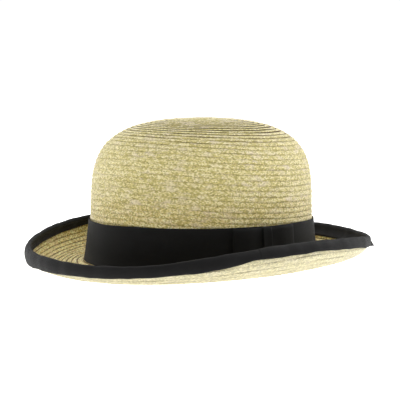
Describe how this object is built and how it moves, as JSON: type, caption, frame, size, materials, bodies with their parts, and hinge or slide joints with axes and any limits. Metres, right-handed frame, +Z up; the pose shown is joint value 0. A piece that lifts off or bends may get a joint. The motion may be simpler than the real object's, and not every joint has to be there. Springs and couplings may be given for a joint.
{
  "type": "straw bowler hat",
  "caption": "Straw bowler hat: rounded crown of sewn braid, curled brim bound in ribbon, wide dark ribbon band and a flat bow on the wearer's left.",
  "frame": {"origin": "centre of the hat's outline on the surface that it stands on", "axes": "+X to the wearer's left, +Y to the back of the hat, +Z up"},
  "size_m": [0.2732, 0.291, 0.1213],
  "materials": {
    "straw": "sewn wheat-straw braid, natural, slightly glossy",
    "band_ribbon": "ribbed grosgrain ribbon, black",
    "binding_ribbon": "ribbed grosgrain ribbon, black, folded over the edge"
  },
  "bodies": {
    "root": {"straw_body": "straw", "hat_band": "band_ribbon", "bow_loops": "band_ribbon", "bow_knot": "band_ribbon", "brim_binding": "binding_ribbon"}
  },
  "joints": []
}
